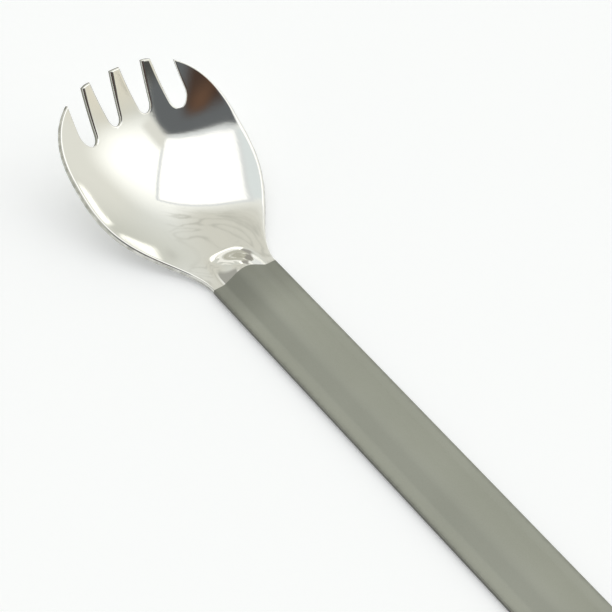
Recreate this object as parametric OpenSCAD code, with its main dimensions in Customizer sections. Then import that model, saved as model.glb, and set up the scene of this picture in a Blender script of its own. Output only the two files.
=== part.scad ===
// One-piece pressed sheet metal spork.
// It is drawn level, with the finish line between bowl and handle at y = 0, the tines
// towards +Y and the top of the handle's flanges at z = 0. It is then tipped and moved to
// lie on its bowl and the end of its handle, with the origin under its middle.

/* [Sheet] */
// Thickness of the metal sheet
sheet_t = 1.1; // [0.9:0.1:1.4]

/* [Bowl] */
// Length from the finish line to the middle tine's tip, seen from above
bowl_l = 46.6; // [44:0.2:52]
// Width at the widest place
bowl_w = 38; // [35:0.5:42]
// Distance from the finish line to the widest place
bowl_wide_y = 31; // [29:0.5:33]
// Depth of the bowl below its rim
bowl_depth = 6.9; // [5.5:0.1:8.5]
// Distance from the finish line to the place that lies deepest below the rim
bowl_deep_y = 31.7; // [29:0.1:33]
// Height of the middle tine's tip over the handle's flanges
tip_rise = 20.5; // [16:0.1:23]

/* [Tines] */
// Distance of an inner slot from the middle line
inner_slot_x = 3.6; // [3.4:0.1:3.8]
// Length of an inner slot, back from the middle tine's tip
inner_slot_l = 5.9; // [5.4:0.1:7]
// Width of an inner slot at its round root
inner_slot_root_w = 2.8; // [2.6:0.1:3.4]
// Width of an inner slot at its mouth
inner_slot_mouth_w = 4.9; // [4.2:0.1:5.1]
// Distance of an outer slot's root from the middle line
outer_slot_x = 10.8; // [10.5:0.1:11]
// Distance of an outer slot's mouth from the middle line
outer_slot_mouth_x = 10.4; // [10.2:0.1:10.7]
// Length of an outer slot, back from the middle tine's tip
outer_slot_l = 8; // [7.2:0.1:8.5]
// Width of an outer slot at its round root
outer_slot_root_w = 3.8; // [3.4:0.1:4.2]
// Width of an outer slot at its mouth
outer_slot_mouth_w = 4.5; // [4:0.1:4.7]
// Width of an outer tine's blunt tip
outer_tip_w = 0.5; // [0.3:0.1:0.8]

/* [Handle] */
// Length from the finish line to the end
handle_l = 171; // [110:1:180]
// Width, the same all along
handle_w = 14.9; // [14:0.1:16]
// Radius of the two corners at the end
end_corner_r = 5; // [3:0.5:6]
// Length of the flat land at the end
land_l = 18; // [14:0.5:22]

/* [Ridge] */
// Width of the raised ridge over its two creases
ridge_w = 10; // [9:0.1:11]
// Width of the ridge's round crest
crest_w = 4.6; // [3.6:0.1:5.4]
// Width of the fillet in each crease
crease_w = 1; // [0.8:0.1:1.4]
// Height of the ridge along the handle
ridge_h = 1.6; // [1.2:0.1:2]
// Height of the ridge at the finish line
ridge_neck_h = 2.35; // [1.8:0.05:2.6]
// Length over which the ridge drops from its height at the finish line
ridge_drop_l = 30; // [20:1:40]
// Length of the ridge's nose, which runs down into the bowl
nose_l = 9; // [7:0.5:12]
// Length over which the ridge runs out before the land
runout_l = 14; // [10:1:20]

/* [Hang hole] */
// Diameter of the hole
hole_d = 5; // [4:0.1:6]
// Distance of the hole's centre from the end
hole_inset = 8; // [7:0.5:10]

/* [Hidden] */
$fn = 64;

// Powers of the curves: how the half width leaves the neck, how square the front is,
// how the rim climbs to the tips, and how round the bottom is from side to side
neck_power = 1.36;
front_power = 2.6;
rim_power = 1.78;
floor_power = 2;
// How much deeper than a parabola the front of the bowl stays towards the tips
tip_fullness = 0.41;

// Number of steps in the sheet: across one tine, along the bowl behind the slots,
// round a slot's root and along a tine's straight side
tine_cols = 6;
bowl_rows = 30;
arc_rows = 4;
side_rows = 5;
tine_rows = arc_rows + side_rows;

// Steps across half the handle: flange, crease, slope of the ridge, crest
flange_cols = 2;
crease_cols = 3;
slope_cols = 4;
crest_cols = 6;
// Steps along the handle: the dropping stretch and the run-out
drop_rows = 8;
runout_rows = 8;

// Length over which a slope is measured
slope_step = 0.02;
// Length by which the ridged stretch runs on, flat, into the land
land_lap = 2;

half_handle = handle_w / 2;
half_bowl = bowl_w / 2;
ridge_b = ridge_w / 2;
crest_b = crest_w / 2;
crease_b = crease_w / 2;
ridge_l = handle_l - land_l;
// Where the outer tines begin on the outline
tine_root_y = bowl_l - outer_slot_l - outer_slot_root_w / 2;

function mix(a, b, share) = a + (b - a) * share;
function ease(share) = (1 - cos(180 * min(max(share, 0), 1))) / 2;

// Half width of the blank at y
function half_width(y) =
    y <= 0 ? half_handle
    : y < bowl_wide_y
        ? half_bowl - (half_bowl - half_handle) * ease(pow(1 - y / bowl_wide_y, neck_power))
        : half_bowl * pow(max(1 - pow((y - bowl_wide_y) / (bowl_l - bowl_wide_y), front_power), 0),
                          1 / front_power);

// Place on the blank's front edge at x
function front_y(x) =
    bowl_wide_y + (bowl_l - bowl_wide_y)
        * pow(max(1 - pow(abs(x) / half_bowl, front_power), 0), 1 / front_power);

// Height of the rim at y
function rim_z(y) = y <= 0 ? 0 : tip_rise * pow(y / bowl_l, rim_power);

// Depth of the middle line under the rim at y: a filled-out parabola in front of the
// deepest place, and behind it a curve that leaves the neck level and meets the front
// with its bend
front_bend = (1 - tip_fullness) * pow(bowl_deep_y / (bowl_l - bowl_deep_y), 2);
function front_share(v) = (1 - v * v) * (1 + tip_fullness * v * v);
function rear_share(u) = 1 - pow(1 - u, 2) * (1 + 2 * u + (front_bend - 3) * u * u);
function mid_depth(y) =
    y <= 0 ? 0
    : y < bowl_deep_y
        ? bowl_depth * rear_share(y / bowl_deep_y)
        : bowl_depth * front_share((y - bowl_deep_y) / (bowl_l - bowl_deep_y));

// Ridge across the handle, as a share of its height: a parabola over the crest, a
// straight slope, and a second parabola in each crease
function ridge_share(a) =
    (a >= ridge_b + crease_b ? 0
     : a >= ridge_b - crease_b ? pow(ridge_b + crease_b - a, 2) / (4 * crease_b)
     : a >= crest_b ? ridge_b - a
     : ridge_b - crest_b + (crest_b * crest_b - a * a) / (2 * crest_b))
    / (ridge_b - crest_b / 2);

// Height of the ridge's crest at y: nose, drop and run-out
function crest_z(y) =
    y >= 0
        ? ridge_neck_h * (1 - ease(y / nose_l))
        : mix(ridge_neck_h, ridge_h, ease(-y / ridge_drop_l)) * ease((ridge_l + y) / runout_l);

// Height of the sheet's top side at x and y
function top_z(x, y) =
    rim_z(y)
    - mid_depth(y) * (1 - pow(min(abs(x) / max(half_width(y), slope_step), 1), floor_power))
    + crest_z(y) * ridge_share(abs(x));

function top_point(p) = [p.x, p.y, top_z(p.x, p.y)];

// Unit normal of the top side, from the slopes along x and y. A slope is taken towards
// the middle line, so that it never leaves the blank.
function inward(v) = v > 0 ? -slope_step : slope_step;
function slope_x(x, y) = (top_z(x + inward(x), y) - top_z(x, y)) / inward(x);
function slope_y(x, y) =
    y >= bowl_deep_y || y < 0
        ? (top_z(x, y) - top_z(x, y - slope_step)) / slope_step
        : (top_z(x, y + slope_step) - top_z(x, y)) / slope_step;
function unit(v) = v / norm(v);
function normal(x, y) =
    unit([x == 0 ? 0 : -slope_x(x, y), y == 0 ? 0 : -slope_y(x, y), 1]);

// The underside lies one sheet thickness along the normal
function under_point(p) = top_point(p) - sheet_t * normal(p.x, p.y);

// Distances from the middle line of the columns across half the handle
half_places = concat(
    [for (i = [0:crest_cols - 1]) crest_b * i / crest_cols],
    [for (i = [0:slope_cols - 1]) mix(crest_b, ridge_b - crease_b, i / slope_cols)],
    [for (i = [0:crease_cols - 1]) mix(ridge_b - crease_b, ridge_b + crease_b, i / crease_cols)],
    [for (i = [0:flange_cols]) mix(ridge_b + crease_b, half_handle, i / flange_cols)]);
half_cols = len(half_places) - 1;
neck_places = [for (i = [-half_cols:half_cols]) sign(i) * half_places[abs(i)]];

// Slots from left to right: root centre x, root radius, root y, mouth centre x, mouth width
function slot(side, x, l, root_w, mouth_x, mouth_w) =
    [side * x, root_w / 2, bowl_l - l + root_w / 2, side * mouth_x, mouth_w];
slots = [
    slot(-1, outer_slot_x, outer_slot_l, outer_slot_root_w, outer_slot_mouth_x, outer_slot_mouth_w),
    slot(-1, inner_slot_x, inner_slot_l, inner_slot_root_w, inner_slot_x, inner_slot_mouth_w),
    slot(1, inner_slot_x, inner_slot_l, inner_slot_root_w, inner_slot_x, inner_slot_mouth_w),
    slot(1, outer_slot_x, outer_slot_l, outer_slot_root_w, outer_slot_mouth_x, outer_slot_mouth_w)];

last_tine = len(slots);
cols = (last_tine + 1) * tine_cols;

// Row k of one side of a slot: round the root to where the straight side is tangent to
// it, then straight to the front edge. dir is 1 for the right side and -1 for the left.
function slot_side(s, dir, k) =
    let (
        mouth_x = s[3] + dir * s[4] / 2,
        mouth = [dir * (mouth_x - s[0]), front_y(mouth_x) - s[2]],
        tangent = atan2(mouth.y, mouth.x) - acos(s[1] / norm(mouth)),
        turn = mix(-90, tangent, min(k / arc_rows, 1)),
        rim = s[1] * [cos(turn), sin(turn)],
        p = mix(rim, mouth, max(k - arc_rows, 0) / side_rows))
    [s[0] + dir * p.x, s[2] + p.y];

// Row k of the outer tine's side that lies on the outline
outer_tip_x = outer_slot_mouth_x + outer_slot_mouth_w / 2 + outer_tip_w;
function outline_side(dir, k) =
    k == tine_rows
        ? [dir * outer_tip_x, front_y(outer_tip_x)]
        : let (y = mix(tine_root_y, front_y(outer_tip_x), k / tine_rows)) [dir * half_width(y), y];

function left_side(t, k) = t == 0 ? outline_side(-1, k) : slot_side(slots[t - 1], 1, k);
function right_side(t, k) = t == last_tine ? outline_side(1, k) : slot_side(slots[t], -1, k);

// Point of tine t at row k and column i: straight across between the two sides, and
// pushed out to the front edge towards the tip
function tine_point(t, k, i) =
    let (
        flat = mix(left_side(t, k), right_side(t, k), i / tine_cols),
        tip = mix(left_side(t, tine_rows), right_side(t, tine_rows), i / tine_cols),
        push = pow(k / tine_rows, 2) * (front_y(tip.x) - tip.y))
    [flat.x, flat.y + push];

// Point of the bowl behind the slots at row k and column i
function root_point(i) =
    let (t = min(floor(i / tine_cols), last_tine)) tine_point(t, 0, i - t * tine_cols);
function bowl_point(k, i) =
    let (
        root = root_point(i),
        share = mix(neck_places[i] / half_handle, root.x / half_width(root.y), ease(k / bowl_rows)),
        y = root.y * k / bowl_rows)
    [k == bowl_rows ? root.x : share * half_width(y), y];

bowl_plan = concat(
    [for (k = [0:bowl_rows], i = [0:cols]) bowl_point(k, i)],
    [for (t = [0:last_tine], k = [1:tine_rows], i = [0:tine_cols]) tine_point(t, k, i)]);
bowl_count = len(bowl_plan);
bowl_under = [for (p = bowl_plan) under_point(p)];

// Number of the point at row k and column i of the bowl, or of tine t
function bowl_at(k, i) = k * (cols + 1) + i;
function tine_at(t, k, i) =
    k == 0
        ? bowl_at(bowl_rows, t * tine_cols + i)
        : (bowl_rows + 1) * (cols + 1) + (t * tine_rows + k - 1) * (tine_cols + 1) + i;

// Two triangles between four points of the top side, and their twins on the underside
function top_quad(a, b, c, d) = [[a, d, c], [a, c, b]];
function under_quad(a, b, c, d, n) = [[a + n, b + n, c + n], [a + n, c + n, d + n]];
// Two triangles on the cut edge from a to b, with the sheet on the left
function edge_quad(a, b, n) = [[a, b, b + n], [a, b + n, a + n]];

bowl_cells = concat(
    [for (k = [0:bowl_rows - 1], i = [0:cols - 1])
        [bowl_at(k, i), bowl_at(k, i + 1), bowl_at(k + 1, i + 1), bowl_at(k + 1, i)]],
    [for (t = [0:last_tine], k = [0:tine_rows - 1], i = [0:tine_cols - 1])
        [tine_at(t, k, i), tine_at(t, k, i + 1), tine_at(t, k + 1, i + 1), tine_at(t, k + 1, i)]]);

// The cut edge, run with the sheet on its left
bowl_edge = concat(
    [for (i = [0:cols - 1]) [bowl_at(0, i), bowl_at(0, i + 1)]],
    [for (k = [0:bowl_rows - 1]) [bowl_at(k, cols), bowl_at(k + 1, cols)]],
    [for (k = [0:bowl_rows - 1]) [bowl_at(k + 1, 0), bowl_at(k, 0)]],
    [for (t = [0:last_tine], k = [0:tine_rows - 1])
        [tine_at(t, k, tine_cols), tine_at(t, k + 1, tine_cols)]],
    [for (t = [0:last_tine], k = [0:tine_rows - 1]) [tine_at(t, k + 1, 0), tine_at(t, k, 0)]],
    [for (t = [0:last_tine], i = [0:tine_cols - 1])
        [tine_at(t, tine_rows, i + 1), tine_at(t, tine_rows, i)]]);

// Stations along the ridged stretch of the handle
strip_ys = concat(
    [for (k = [0:drop_rows]) -ridge_drop_l * k / drop_rows],
    [for (k = [0:runout_rows]) -ridge_l + runout_l * (1 - k / runout_rows)],
    [-ridge_l - land_lap]);
strip_rows = len(strip_ys) - 1;
strip_plan = [for (k = [0:strip_rows], i = [0:cols]) [neck_places[i], strip_ys[k]]];
strip_count = len(strip_plan);
strip_cells = [for (k = [0:strip_rows - 1], i = [0:cols - 1])
    [bowl_at(k + 1, i), bowl_at(k + 1, i + 1), bowl_at(k, i + 1), bowl_at(k, i)]];
strip_edge = concat(
    [for (i = [0:cols - 1]) [bowl_at(0, i + 1), bowl_at(0, i)]],
    [for (i = [0:cols - 1]) [bowl_at(strip_rows, i), bowl_at(strip_rows, i + 1)]],
    [for (k = [0:strip_rows - 1]) [bowl_at(k, 0), bowl_at(k + 1, 0)]],
    [for (k = [0:strip_rows - 1]) [bowl_at(k + 1, cols), bowl_at(k, cols)]]);

// Pitch at which a straight edge touches both the end of the handle and the bowl
pitch = max([for (p = bowl_under) atan2(-sheet_t - p.z, p.y + handle_l)]);
front_reach = max([for (p = bowl_plan) p.y * cos(pitch) - top_z(p.x, p.y) * sin(pitch)]);
middle_y = (front_reach - handle_l * cos(pitch)) / 2;
lift_z = handle_l * sin(pitch) + sheet_t * cos(pitch);

module as_laid() {
    translate([0, -middle_y, lift_z])
        rotate([pitch, 0, 0])
            children();
}

// A closed sheet over a plan: its top side, its underside and its cut edge
module sheet(plan, count, cells, edge) {
    polyhedron(
        points = concat([for (p = plan) top_point(p)], [for (p = plan) under_point(p)]),
        faces = concat(
            [for (c = cells) each top_quad(c[0], c[1], c[2], c[3])],
            [for (c = cells) each under_quad(c[0], c[1], c[2], c[3], count)],
            [for (e = edge) each edge_quad(e[0], e[1], count)]));
}

// Flat land at the end of the handle, with two round corners and the hang hole
module land() {
    corner_x = half_handle - end_corner_r;
    corner_y = -handle_l + end_corner_r;
    translate([0, 0, -sheet_t])
        linear_extrude(sheet_t)
            difference() {
                union() {
                    translate([-half_handle, corner_y])
                        square([handle_w, land_l - end_corner_r]);
                    translate([-corner_x, -handle_l])
                        square([2 * corner_x, end_corner_r]);
                    for (side = [-1, 1])
                        translate([side * corner_x, corner_y])
                            circle(end_corner_r);
                }
                translate([0, -handle_l + hole_inset])
                    circle(hole_d / 2);
            }
}

module bowl() {
    color([0.82, 0.81, 0.77])
        as_laid()
            sheet(bowl_plan, bowl_count, bowl_cells, bowl_edge);
}

module handle() {
    color([0.56, 0.56, 0.51])
        as_laid()
            union() {
                sheet(strip_plan, strip_count, strip_cells, strip_edge);
                land();
            }
}

bowl();
handle();
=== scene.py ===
"""Looks of a one-piece pressed titanium spork: mirror-polished bowl, bead-blasted handle.

The sheet is worked out from the same laws as its solids (outline, rim, depth, ridge), at a
finer step and with the rounded edges of tumbled metal. Sizes are in millimetres in the
level drawing of the blank, and turned and scaled to the frame's metres at the end.
"""

import logging
import math
from dataclasses import dataclass, field, replace
from enum import Enum
from functools import partial

import bpy
import numpy as np
from mathutils import Matrix, Vector


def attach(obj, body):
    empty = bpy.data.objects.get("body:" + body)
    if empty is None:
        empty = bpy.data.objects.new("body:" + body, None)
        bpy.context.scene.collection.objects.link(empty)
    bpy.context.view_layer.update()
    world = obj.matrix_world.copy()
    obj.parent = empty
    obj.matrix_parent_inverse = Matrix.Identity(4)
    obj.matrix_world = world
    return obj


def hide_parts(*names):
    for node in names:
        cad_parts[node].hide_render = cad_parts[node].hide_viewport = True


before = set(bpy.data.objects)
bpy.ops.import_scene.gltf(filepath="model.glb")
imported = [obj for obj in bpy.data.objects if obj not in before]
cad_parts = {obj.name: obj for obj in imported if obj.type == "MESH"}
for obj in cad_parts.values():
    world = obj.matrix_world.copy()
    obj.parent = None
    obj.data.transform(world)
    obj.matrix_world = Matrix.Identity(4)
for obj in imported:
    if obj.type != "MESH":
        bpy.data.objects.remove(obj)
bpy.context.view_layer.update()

Array = np.ndarray
Triple = tuple[float, float, float]
Colour = Triple
Output = bpy.types.NodeSocket
LOG = logging.getLogger("spork")
BODY = "root"
MM = 0.001
ORIGIN = (0.0, 0.0, 0.0)
BLACK = (0.0, 0.0, 0.0)
# The value that a Noise Texture swings about, and the least cosine to a panel's axis at
# which the panel is still drawn.
NOISE_MIDDLE = 0.5
GRAZING = 0.02


class Slot(Enum):
    """Material slots of the record."""

    POLISHED = "polished_titanium"
    BLASTED = "blasted_titanium"


def ease(share: Array) -> Array:
    """Half a cosine wave from 0 to 1, level at both ends.

    Args:
        share: position along the stretch, held between 0 and 1.

    Returns:
        The eased share.
    """
    return (1 - np.cos(np.pi * np.clip(share, 0, 1))) / 2


def mix(a: Array, b: Array, share: Array) -> Array:
    """Straight blend from a to b by share."""
    return a + (b - a) * share


def unit(v: Array) -> Array:
    """Vectors of length 1 along the last axis of v."""
    return v / np.linalg.norm(v, axis=-1, keepdims=True)


def grid_cells(grid: Array, flip: bool = False) -> Array:
    """Four-sided cells between the neighbouring rows and columns of a grid.

    Args:
        grid: point numbers, rows by columns.
        flip: whether each cell runs down the rows first, the other way round.

    Returns:
        m by 4 point numbers.
    """
    a, b, c, d = grid[:-1, :-1], grid[:-1, 1:], grid[1:, 1:], grid[1:, :-1]
    return np.stack([a, d, c, b] if flip else [a, b, c, d], -1).reshape(-1, 4)


@dataclass(frozen=True)
class Blank:
    """Laws of the pressed sheet: outline, rim height, depth and ridge, drawn level.

    y runs from the finish line (0) to the tines, x to the right, and z = 0 is the top of
    the handle's flanges.

    Attributes:
        tip_fullness: how far the bowl's front is filled out beyond a parabola.
        crease_w: width of the small hollow at the foot of the ridge.
        neck_power: how early the flare of the neck begins.
        front_power, rim_power, floor_power: powers of the front outline, of the rim's rise
            and of the floor across the bowl.
        slope_step: step over which slopes are taken.
        least_half_w: least half width that the floor's share is taken of.
    """

    sheet_t: float = 1.1
    bowl_l: float = 46.6
    bowl_w: float = 38.0
    bowl_wide_y: float = 31.0
    bowl_depth: float = 6.9
    bowl_deep_y: float = 31.7
    tip_fullness: float = 0.41
    tip_rise: float = 20.5
    handle_l: float = 171.0
    handle_w: float = 14.9
    land_l: float = 18.0
    ridge_w: float = 10.0
    crest_w: float = 4.6
    crease_w: float = 1.0
    ridge_h: float = 1.6
    ridge_neck_h: float = 2.35
    ridge_drop_l: float = 30.0
    nose_l: float = 9.0
    runout_l: float = 14.0
    neck_power: float = 1.36
    front_power: float = 2.6
    rim_power: float = 1.78
    floor_power: float = 2.0
    slope_step: float = 0.002
    least_half_w: float = 0.02

    @property
    def half_bowl(self) -> float:
        """Half of the bowl's width."""
        return self.bowl_w / 2

    @property
    def half_handle(self) -> float:
        """Half of the handle's width."""
        return self.handle_w / 2

    @property
    def ridge_l(self) -> float:
        """Length of the ridged stretch behind the finish line."""
        return self.handle_l - self.land_l

    def half_width(self, y: Array) -> Array:
        """Half width of the blank: an eased flare to the widest place, then a superellipse.

        Args:
            y: stations along the blank.

        Returns:
            Distance from the middle line to the outline.
        """
        rear_u = np.clip(1 - y / self.bowl_wide_y, 0, 1) ** self.neck_power
        rear = self.half_bowl - (self.half_bowl - self.half_handle) * ease(rear_u)
        front_u = np.clip((y - self.bowl_wide_y) / (self.bowl_l - self.bowl_wide_y), 0, 1)
        front = self.half_bowl * (1 - front_u**self.front_power) ** (1 / self.front_power)
        return np.where(y < self.bowl_wide_y, rear, front)

    def front_y(self, x: Array) -> Array:
        """Front edge of the blank, the inverse of the superellipse in half_width.

        Args:
            x: distances from the middle line, to either side.

        Returns:
            Station of the front edge over each x.
        """
        share = np.clip(1 - (np.abs(x) / self.half_bowl) ** self.front_power, 0, 1)
        reach = self.bowl_l - self.bowl_wide_y
        return self.bowl_wide_y + reach * share ** (1 / self.front_power)

    def rim_z(self, y: Array) -> Array:
        """Height of the rim: a power of the way from the finish line to the middle tine."""
        return self.tip_rise * (np.clip(y, 0, None) / self.bowl_l) ** self.rim_power

    def mid_depth(self, y: Array) -> Array:
        """Depth under the rim on the middle line.

        In front of the deepest place it is a filled-out parabola, and behind it a quartic
        that leaves the neck level and joins the front with the same bend.

        Args:
            y: stations along the blank.

        Returns:
            Depth at each station.
        """
        reach = self.bowl_l - self.bowl_deep_y
        bend = (1 - self.tip_fullness) * (self.bowl_deep_y / reach) ** 2
        u = np.clip(y / self.bowl_deep_y, 0, 1)
        rear = 1 - (1 - u) ** 2 * (1 + 2 * u + (bend - 3) * u * u)
        v = ((y - self.bowl_deep_y) / reach) ** 2
        front = (1 - v) * (1 + self.tip_fullness * v)
        return self.bowl_depth * np.where(y < self.bowl_deep_y, rear, front)

    def ridge_share(self, a: Array) -> Array:
        """Ridge across the handle as a share of its height: parabola, slope, parabola.

        Args:
            a: distances from the middle line, 0 or more.

        Returns:
            1 on the middle line and 0 beside the ridge.
        """
        b, c, f = self.ridge_w / 2, self.crest_w / 2, self.crease_w / 2
        rise = np.select(
            [a >= b + f, a >= b - f, a >= c],
            [np.zeros_like(a), (b + f - a) ** 2 / (4 * f), b - a],
            b - c + (c * c - a * a) / (2 * c),
        )
        return rise / (b - c / 2)

    def crest_z(self, y: Array) -> Array:
        """Height of the ridge's crest: its nose in the bowl, its drop and its run-out.

        Args:
            y: stations along the blank.

        Returns:
            Height over the handle's flanges.
        """
        nose = self.ridge_neck_h * (1 - ease(y / self.nose_l))
        drop = mix(self.ridge_neck_h, self.ridge_h, ease(-y / self.ridge_drop_l))
        return np.where(y >= 0, nose, drop * ease((self.ridge_l + y) / self.runout_l))

    def top_z(self, x: Array, y: Array) -> Array:
        """Height of the top side: rim less the dished depth, plus the ridge.

        Args:
            x: distances from the middle line, + to the right.
            y: stations along the blank.

        Returns:
            Height over the handle's flanges.
        """
        side = np.abs(x) / np.maximum(self.half_width(y), self.least_half_w)
        dish = self.mid_depth(y) * (1 - np.minimum(side, 1) ** self.floor_power)
        return self.rim_z(y) - dish + self.crest_z(y) * self.ridge_share(np.abs(x))

    def top(self, plan: Array) -> Array:
        """Points of the top side over plan points, n by 3."""
        return np.column_stack([plan, self.top_z(plan[:, 0], plan[:, 1])])

    def normal(self, plan: Array) -> Array:
        """Unit normals of the top side, from slopes taken towards the middle of the blank.

        Args:
            plan: points seen from above, n by 2.

        Returns:
            n by 3 normals.
        """
        x, y = plan[:, 0], plan[:, 1]
        z = self.top_z(x, y)
        step_x = np.where(x > 0, -self.slope_step, self.slope_step)
        step_y = np.where((y >= self.bowl_deep_y) | (y < 0), -self.slope_step, self.slope_step)
        slope_x = (self.top_z(x + step_x, y) - z) / step_x
        slope_y = np.where(y == 0, 0, (self.top_z(x, y + step_y) - z) / step_y)
        slope_x = np.where(x == 0, 0, slope_x)
        return unit(np.column_stack([-slope_x, -slope_y, np.ones_like(z)]))


@dataclass(frozen=True)
class Lay:
    """How the level blank is tipped and moved to lie on its bowl and its handle's end."""

    pitch: float
    middle_y: float
    lift_z: float

    @classmethod
    def of(cls, blank: Blank, under: Array, top: Array) -> "Lay":
        """Lay worked out from the bowl: a straight edge under the handle's end and the bowl.

        Args:
            blank: laws and sizes of the sheet.
            under: points of the bowl's underside.
            top: points of the bowl's top side.

        Returns:
            The pitch in radians and the two moves in millimetres.
        """
        drop, run = -blank.sheet_t - under[:, 2], under[:, 1] + blank.handle_l
        pitch = float(np.max(np.arctan2(drop, run)))
        c, s = math.cos(pitch), math.sin(pitch)
        reach = float(np.max(top[:, 1] * c - top[:, 2] * s))
        return cls(pitch, (reach - blank.handle_l * c) / 2, blank.handle_l * s + blank.sheet_t * c)

    @property
    def turn(self) -> Array:
        """Rotation about the x axis by the pitch, 3 by 3."""
        c, s = math.cos(self.pitch), math.sin(self.pitch)
        return np.array([[1, 0, 0], [0, c, -s], [0, s, c]])

    def place(self, points: Array) -> Array:
        """Level points in millimetres, n by 3, as points of the frame in metres."""
        return (points @ self.turn.T + [0, -self.middle_y, self.lift_z]) * MM


@dataclass
class Plan:
    """A sheet seen from above: its points, cells and free edges.

    Attributes:
        points: n by 2, in millimetres.
        cells: m by 4 point numbers, anticlockwise from above.
        edges: smooth stretches of the free edge, each starting where the last one ends,
            with the sheet on the left.
        widths: width of the upper rounding along each edge.
        dull_and_shade: edge share of the flat wall under each edge, which sets its rubbed look and
            painted shade, 1 where it is left as cut.
        holes: closed free edges, with the sheet on the left.
        seam: point numbers along the cut at y = 0, from left to right.
        seam_side: -1 where the cut faces -Y and 1 where it faces +Y.
    """

    points: Array
    cells: Array
    edges: list[Array]
    widths: list[Array]
    dull_and_shade: list[float]
    holes: list[Array]
    seam: Array
    seam_side: int


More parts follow.
